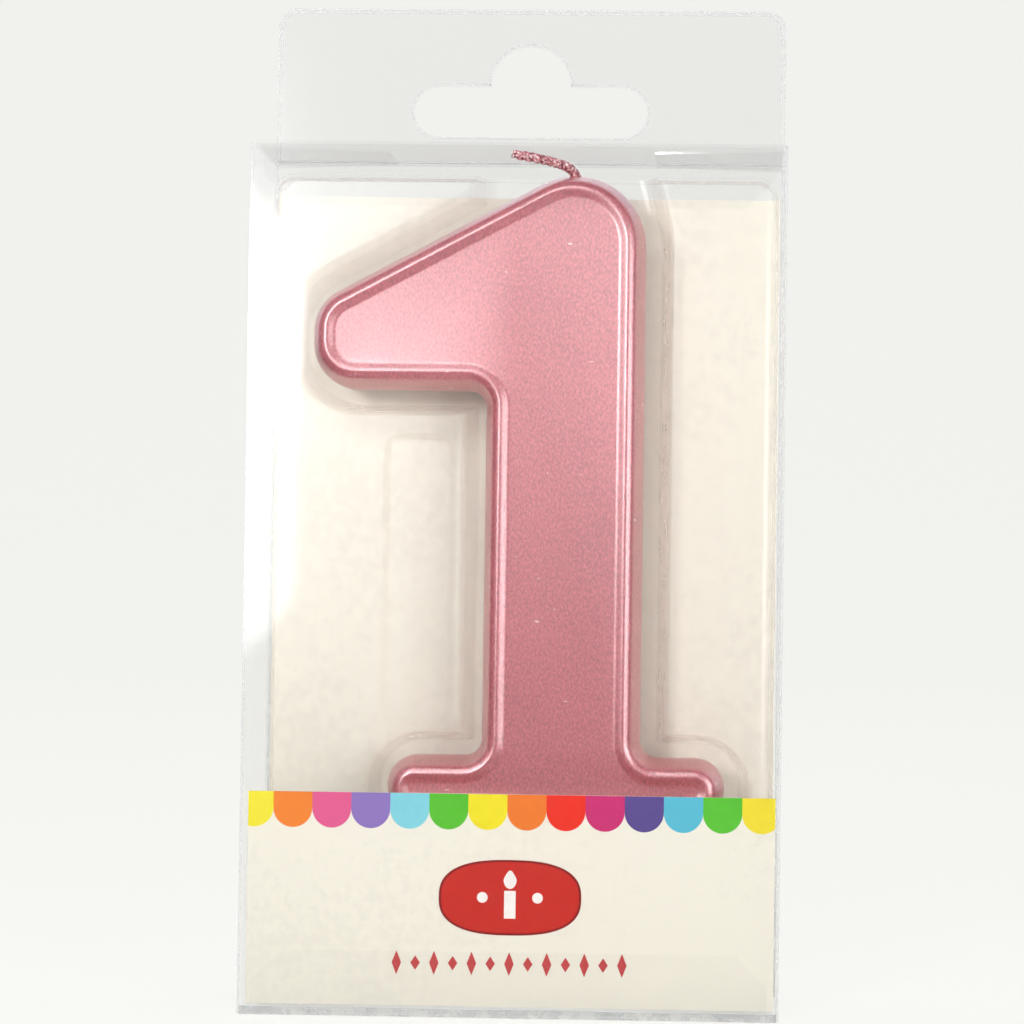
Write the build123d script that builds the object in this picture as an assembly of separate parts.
from build123d import *
import os
from math import sqrt

# Number 1 birthday candle in its clear hanging carton, millimetres.
# X is the width, -Y is the front, +Z is up, and the origin is under the middle of the carton.

# ---- carton -------------------------------------------------------------------------------
PACK_W = 70.0
PACK_D = 20.0
PACK_H = 113.5
FILM = 0.3
FRONT_IN = -PACK_D / 2 + FILM
BACK_IN = PACK_D / 2 - FILM
GLUE_FLAP_W = 10.5
GLUE_FLAP_LOW = 2.0
GLUE_FLAP_HIGH = PACK_H - 2.0

# lid and base closures: a plate that turns on a crease at the back, with a tuck flap in front
CREASE_Y = 9.2
CLOSURE_W = 69.0
CLOSURE_FRONT = -9.4
TUCK_W = 67.0
TUCK_LEN = 8.0
TUCK_START = 0.1
TUCK_LEAN = 13.0
TUCK_CORNER = 4.0
DUST_LEN = 17.0
DUST_HALF_D = 8.6
DUST_TAPER = 3.0
DUST_GAP = 0.15
DUST_SIDE_GAP = 0.1

# ---- hang tab -----------------------------------------------------------------------------
TAB_W = 70.0
TAB_TOP = 135.1
TAB_FOOT = PACK_H + 0.2
TAB_CORNER = 2.6
PLY_GAP = 0.05
PLY_SETBACK = 0.45
SLOT_SETBACK = 0.25
SLOT_W = 32.0
SLOT_H = 6.9
SLOT_BOTTOM = 117.5
BUMP_W = 10.9
BUMP_RISE = 5.6

# ---- printed card -------------------------------------------------------------------------
CARD = 0.35
CARD_W = 68.8
CARD_FRONT_Y = -7.2
CARD_FRONT_TOP = 28.6
CARD_BACK_Y = 9.35
CARD_BACK_TOP = 108.9
CARD_FLOOR = 1.0

# ---- thermoformed tray --------------------------------------------------------------------
SHEET = 0.4
TRAY_HALF_W = 34.3
TRAY_LOW = 1.6
TRAY_HIGH = 111.4
TRAY_FRONT_Y = -0.6
TRAY_BACK_Y = 8.9
TRAY_CORNER = 3.0
CAVITY_FLOOR_Y = 7.3
CAVITY_GAP = 2.9
CAVITY_SHIFT_X = 0.3
# the way up for the wick: its left side, and where its right side starts to lean in and ends
WICK_WAY_LEFT = -3.8
WICK_WAY_TURN_Z = 103.0
WICK_WAY_RIGHT = 12.5
PICK_WAY_W = 6.0
# how far the recess runs past the tray's ends, and a cutter past a face
RUN_OUT = 7.4
OVERCUT = 1.0
RIM_FLARE = 1.1
# rounding of a formed edge, as depth and the share of the flare that is left there
RIM_ROUNDING = [(0.15, 0.55), (0.45, 0.22), (1.1, 0.0)]
WALL_DRAFT = 1.0
# rounding of the recess floor, as height over the floor and how far in
FLOOR_ROUNDING = [(1.0, 0.0), (0.4, 0.25), (0.12, 0.7), (0.0, 1.3)]
SKIRT_DRAFT = 0.7
HAND_RECESS = (-18.3, -8.6, 37.0, 76.0)
HAND_DEPTH = 0.9

# ---- candle -------------------------------------------------------------------------------
STEM_LEFT = -4.7
STEM_RIGHT = 16.4
FOOT_LEFT = -17.2
FOOT_RIGHT = 27.7
FOOT_LOW = 24.9
FOOT_HIGH = 33.1
ARM_TIP = -28.0
ARM_LOW = 81.8
ARM_SHOULDER = 93.3
FLAG_SLOPE = 0.537
ROUND_FOOT = 4.0
ROUND_ARM = 6.2
ROUND_HEAD = 9.5
ROUND_INNER = 2.3
LEAST_ROUND = 0.4
# border of the numeral from its sunk face over a low rim to its back:
# depth in Y, and how far in from the widest outline
BORDER = [(-3.7, 3.4), (-3.92, 2.9), (-4.0, 2.55), (-3.88, 2.2), (-3.4, 1.85), (-2.0, 1.2),
          (-0.6, 0.45), (0.5, 0.0), (2.2, 0.0), (6.2, 0.7), (7.0, 1.5)]

WICK_D = 1.4
WICK_BEND = 1.1
WICK_PATH = [(7.4, 0.5, 107.4), (7.1, 0.2, 111.3), (4.1, -3.0, 112.2), (-0.9, -7.4, 112.35)]

PICK_X = (STEM_LEFT + STEM_RIGHT) / 2
PICK_Y = 1.5
PICK_W = 5.0
PICK_T = 2.0
PICK_TOP = 31.5
PICK_TIP = 2.6
PICK_POINT = 7.0
BARB_H = 1.2
BARB_START = 2.0
BARB_OUT = 0.9


def block(x0, x1, y0, y1, z0, z1):
    """A box between two corners."""
    solid = Box(x1 - x0, y1 - y0, z1 - z0, align=(Align.MIN, Align.MIN, Align.MIN))
    return Pos(x0, y0, z0) * solid


def slab(face_xz, y_front, thickness):
    """A sketch in X and Z, given a thickness towards the back."""
    return extrude(Plane.XZ.offset(-y_front) * face_xz, -thickness)


def sheet_xy(points, z_low, thickness):
    """A flat panel from its outline in X and Y."""
    face = make_face(Polyline(*points, close=True))
    return Pos(0, 0, z_low) * extrude(face, thickness)


# ---- rounded outline ----------------------------------------------------------------------
def unit(a, b):
    """Direction from a to b."""
    length = sqrt((b[0] - a[0]) ** 2 + (b[1] - a[1]) ** 2)
    return (b[0] - a[0]) / length, (b[1] - a[1]) / length


def shifted_corner(before, corner, after, inset):
    """Where a corner goes when both its sides move in by the inset (anticlockwise outline)."""
    d0 = unit(before, corner)
    d1 = unit(corner, after)
    n0 = (-d0[1], d0[0])
    n1 = (-d1[1], d1[0])
    turn = d0[0] * d1[1] - d0[1] * d1[0]
    facing = 1 + n0[0] * n1[0] + n0[1] * n1[1]
    x = corner[0] + inset * (n0[0] + n1[0]) / facing
    z = corner[1] + inset * (n0[1] + n1[1]) / facing
    radius = corner[2] - inset if turn > 0 else corner[2] + inset
    return x, z, max(radius, LEAST_ROUND)


def rounded_wire(corners, y, inset=0.0):
    """A closed wire of lines and arcs at depth y, moved in by the inset."""
    count = len(corners)
    moved = []
    for i, corner in enumerate(corners):
        moved.append(shifted_corner(corners[i - 1], corner, corners[(i + 1) % count], inset))
    arcs = []
    for i, (x, z, radius) in enumerate(moved):
        to_back = unit(moved[i], moved[i - 1])
        to_next = unit(moved[i], moved[(i + 1) % count])
        dot = to_back[0] * to_next[0] + to_back[1] * to_next[1]
        half_sin = sqrt((1 - dot) / 2)
        half_cos = sqrt((1 + dot) / 2)
        run = radius * half_cos / half_sin
        reach = radius / half_sin
        mid = (to_back[0] + to_next[0], to_back[1] + to_next[1])
        mid_len = sqrt(mid[0] ** 2 + mid[1] ** 2)
        apex = (reach - radius) / mid_len
        start = (x + run * to_back[0], y, z + run * to_back[1])
        middle = (x + apex * mid[0], y, z + apex * mid[1])
        end = (x + run * to_next[0], y, z + run * to_next[1])
        arcs.append((start, middle, end))
    edges = []
    for i, (start, middle, end) in enumerate(arcs):
        edges.append(Edge.make_three_point_arc(start, middle, end))
        edges.append(Edge.make_line(end, arcs[(i + 1) % count][0]))
    return Wire(edges)


def numeral_corners(shift_x=0.0):
    """Corners of the figure 1, anticlockwise: X, Z and the rounding of each."""
    head_z = ARM_SHOULDER + FLAG_SLOPE * (STEM_RIGHT - ARM_TIP)
    corners = [
        (FOOT_LEFT, FOOT_LOW, ROUND_FOOT),
        (FOOT_RIGHT, FOOT_LOW, ROUND_FOOT),
        (FOOT_RIGHT, FOOT_HIGH, ROUND_FOOT),
        (STEM_RIGHT, FOOT_HIGH, ROUND_INNER),
        (STEM_RIGHT, head_z, ROUND_HEAD),
        (ARM_TIP, ARM_SHOULDER, ROUND_ARM),
        (ARM_TIP, ARM_LOW, ROUND_ARM),
        (STEM_LEFT, ARM_LOW, ROUND_INNER),
        (STEM_LEFT, FOOT_HIGH, ROUND_INNER),
        (FOOT_LEFT, FOOT_HIGH, ROUND_FOOT),
    ]
    return [(x + shift_x, z, radius) for x, z, radius in corners]


# ---- candle -------------------------------------------------------------------------------
def wick():
    """Waxed braided wick: up out of the wax, then bent over to the left and the front."""
    path = FilletPolyline(*WICK_PATH, radius=WICK_BEND)
    start = Plane(origin=path @ 0, z_dir=path % 0)
    return sweep(start * Circle(WICK_D / 2), path=path)


def pick():
    """Plastic spike under the foot, with two barbs that hold it in the wax."""
    half = PICK_W / 2
    shoulder = PICK_TIP + PICK_POINT
    barb_low = FOOT_LOW + BARB_START
    points = [(0, PICK_TIP), (half, shoulder)]
    for k in range(2):
        z = barb_low + k * 2 * BARB_H
        points += [(half, z), (half + BARB_OUT, z), (half, z + BARB_H)]
    points += [(half, PICK_TOP)]
    left = [(-x, z) for x, z in reversed(points[1:])]
    face = make_face(Polyline(*points, *left, close=True))
    return Pos(PICK_X, 0, 0) * slab(face, PICK_Y - PICK_T / 2, PICK_T)


def numeral(wick_solid, pick_solid):
    """The wax figure 1: flat raised face, sloped border, flat back."""
    sections = [rounded_wire(numeral_corners(), y, inset) for y, inset in BORDER]
    wax = Solid.make_loft(sections, ruled=True)
    return wax - wick_solid - pick_solid


# ---- tray ---------------------------------------------------------------------------------
def stack(corners, sections):
    """A solid through rounded outlines, front to back: depth in Y, and how far in."""
    return Solid.make_loft([rounded_wire(corners, y, inset) for y, inset in sections], ruled=True)


def recess_corners():
    """The candle's outline with a way up for the wick and one down for the pick."""
    low, foot_low, foot_high, inner, _, *rest = numeral_corners(CAVITY_SHIFT_X)
    arm_tip, shoulder_z, _ = rest[0]
    way_z = shoulder_z + FLAG_SLOPE * (WICK_WAY_LEFT - arm_tip)
    pick_left = PICK_X - PICK_WAY_W / 2
    pick_right = PICK_X + PICK_WAY_W / 2
    return [
        (pick_left, TRAY_LOW - RUN_OUT, ROUND_INNER),
        (pick_right, TRAY_LOW - RUN_OUT, ROUND_INNER),
        (pick_right, FOOT_LOW, ROUND_INNER),
        foot_low,
        foot_high,
        inner,
        (inner[0], WICK_WAY_TURN_Z, ROUND_HEAD),
        (WICK_WAY_RIGHT, TRAY_HIGH + RUN_OUT, ROUND_INNER),
        (WICK_WAY_LEFT, TRAY_HIGH + RUN_OUT, ROUND_INNER),
        (WICK_WAY_LEFT, way_z, ROUND_INNER),
        *rest,
        low,
        (pick_left, FOOT_LOW, ROUND_INNER),
    ]


def recess(grow):
    """Room for the candle: rounded rim, drafted wall, rounded floor. Grown for the sheet."""
    rim_y = TRAY_FRONT_Y + grow
    floor_y = CAVITY_FLOOR_Y + grow
    gap = CAVITY_GAP + grow
    sections = [(rim_y - OVERCUT, -gap - RIM_FLARE), (rim_y, -gap - RIM_FLARE)]
    sections += [(rim_y + drop, -gap - RIM_FLARE * share) for drop, share in RIM_ROUNDING]
    sections += [(floor_y - rise, WALL_DRAFT - gap + inset) for rise, inset in FLOOR_ROUNDING]
    return stack(recess_corners(), sections)


def hand_recess(grow):
    """Shallow step in the plateau beside the stem."""
    x0, x1, z0, z1 = HAND_RECESS
    corners = [(x0, z0, ROUND_INNER), (x1, z0, ROUND_INNER), (x1, z1, ROUND_INNER),
               (x0, z1, ROUND_INNER)]
    rim_y = TRAY_FRONT_Y + grow
    sections = [(rim_y - OVERCUT, -grow), (rim_y, -grow), (rim_y + HAND_DEPTH, HAND_DEPTH - grow)]
    return stack(corners, sections)


def tray_block(inset):
    """The tray's outside: plateau with rounded edge, and skirts that flare to the back."""
    half = TRAY_HALF_W
    corners = [(-half, TRAY_LOW, TRAY_CORNER), (half, TRAY_LOW, TRAY_CORNER),
               (half, TRAY_HIGH, TRAY_CORNER), (-half, TRAY_HIGH, TRAY_CORNER)]
    front = TRAY_FRONT_Y + inset
    sections = [(front + drop, SKIRT_DRAFT + RIM_FLARE * share + inset)
                for drop, share in [(0.0, 1.0)] + RIM_ROUNDING]
    sections.append((TRAY_BACK_Y, inset))
    return stack(corners, sections)


def tray():
    """Clear thermoformed insert: a raised plateau with skirts and the candle's recess."""
    block_out = tray_block(0.0)
    skin = block_out - tray_block(SHEET)
    lining = (recess(SHEET) + hand_recess(SHEET)) & block_out
    return skin + lining - recess(0.0) - hand_recess(0.0)


# ---- card ---------------------------------------------------------------------------------
def printed_card():
    """One card folded to a J: low front panel, base and tall back panel."""
    half = CARD_W / 2
    front = block(-half, half, CARD_FRONT_Y, CARD_FRONT_Y + CARD, CARD_FLOOR, CARD_FRONT_TOP)
    base = block(-half, half, CARD_FRONT_Y, CARD_BACK_Y, CARD_FLOOR, CARD_FLOOR + CARD)
    back = block(-half, half, CARD_BACK_Y - CARD, CARD_BACK_Y, CARD_FLOOR, CARD_BACK_TOP)
    return front + base + back


# ---- carton -------------------------------------------------------------------------------
def wall_panels():
    """Front, back and side panels of the sleeve, with the glue flap behind the left side."""
    half_w = PACK_W / 2
    half_d = PACK_D / 2
    return {
        "carton_front": block(-half_w, half_w, -half_d, FRONT_IN, 0, PACK_H),
        "carton_back": block(-half_w, half_w, BACK_IN, half_d, 0, PACK_H),
        "carton_side_left": block(-half_w, -half_w + FILM, FRONT_IN, BACK_IN, 0, PACK_H),
        "carton_side_right": block(half_w - FILM, half_w, FRONT_IN, BACK_IN, 0, PACK_H),
        "carton_glue_flap": block(-half_w + FILM, -half_w + FILM + GLUE_FLAP_W,
                                  BACK_IN - FILM, BACK_IN, GLUE_FLAP_LOW, GLUE_FLAP_HIGH),
    }


def closure_plate(z_low):
    """The flat plate of the lid or of the base."""
    return block(-CLOSURE_W / 2, CLOSURE_W / 2, CLOSURE_FRONT, CREASE_Y, z_low, z_low + FILM)


def tuck_flap(crease_z, up):
    """Flap that tucks behind the front panel, leaning in; up is 1 for the base, -1 for the lid."""
    half = TUCK_W / 2
    cut = TUCK_CORNER
    low = TUCK_START
    outline = [(-half, low), (half, low), (half, TUCK_LEN - cut), (half - cut, TUCK_LEN),
               (cut - half, TUCK_LEN), (-half, TUCK_LEN - cut)]
    face = make_face(Polyline(*outline, close=True))
    flat = slab(face, -FILM / 2, FILM)
    if up < 0:
        flat = mirror(flat, about=Plane.XY)
    tilt = Rot(-up * TUCK_LEAN, 0, 0) * flat
    crease_y = CLOSURE_FRONT + FILM / 2
    return Pos(0, crease_y, crease_z) * tilt


def dust_flap(side, z_low):
    """Side flap under the lid or over the base, narrower at its free edge."""
    root = side * (PACK_W / 2 - FILM - DUST_SIDE_GAP)
    tip = root - side * DUST_LEN
    depth = DUST_HALF_D
    narrow = DUST_HALF_D - DUST_TAPER
    points = [(root, -depth), (tip, -narrow), (tip, narrow), (root, depth)]
    return sheet_xy(points, z_low, FILM)


# ---- hang tab -----------------------------------------------------------------------------
def euro_slot(grow):
    """Hanging hole: a long slot with a round bump over its middle."""
    middle = SLOT_BOTTOM + SLOT_H / 2
    slot = Pos(0, middle) * SlotOverall(SLOT_W + 2 * grow, SLOT_H + 2 * grow)
    bump_top = SLOT_BOTTOM + SLOT_H + BUMP_RISE
    bump_centre = bump_top - BUMP_W / 2
    bump = Pos(0, bump_centre) * Circle(BUMP_W / 2 + grow)
    neck = Pos(0, (middle + bump_centre) / 2) * Rectangle(BUMP_W + 2 * grow, bump_centre - middle)
    return slot + bump + neck


def tab_ply(y_front, setback=0.0, slot_grow=0.0):
    """One ply of the double hang tab; the folded one is a little smaller all round."""
    top = TAB_TOP - setback
    centre = Pos(0, (top + TAB_FOOT) / 2)
    plate = centre * Rectangle(TAB_W - 2 * setback, top - TAB_FOOT)
    corners = plate.vertices().group_by(Axis.Y)[-1]
    plate = fillet(corners, TAB_CORNER)
    return slab(plate - euro_slot(slot_grow), y_front, FILM)


def all_nodes():
    """Every node of the packed candle by name."""
    wick_solid = wick()
    pick_solid = pick()
    nodes = {
        "candle_wax": numeral(wick_solid, pick_solid),
        "candle_wick": wick_solid,
        "candle_pick": pick_solid,
        "tray": tray(),
        "printed_card": printed_card(),
    }
    nodes.update(wall_panels())
    lid_z = PACK_H - FILM
    nodes["lid_panel"] = closure_plate(lid_z)
    nodes["lid_tuck_flap"] = tuck_flap(lid_z, -1)
    nodes["base_panel"] = closure_plate(0.0)
    nodes["base_tuck_flap"] = tuck_flap(FILM, 1)
    for side, word in ((-1, "left"), (1, "right")):
        nodes[f"lid_dust_flap_{word}"] = dust_flap(side, lid_z - DUST_GAP - FILM)
        nodes[f"base_dust_flap_{word}"] = dust_flap(side, FILM + DUST_GAP)
    nodes["hang_tab_back_ply"] = tab_ply(PACK_D / 2 - FILM)
    front_ply_y = PACK_D / 2 - 2 * FILM - PLY_GAP
    nodes["hang_tab_front_ply"] = tab_ply(front_ply_y, PLY_SETBACK, SLOT_SETBACK)
    return nodes


os.makedirs("parts", exist_ok=True)
for name, shape in all_nodes().items():
    export_step(shape, f"parts/{name}.step")
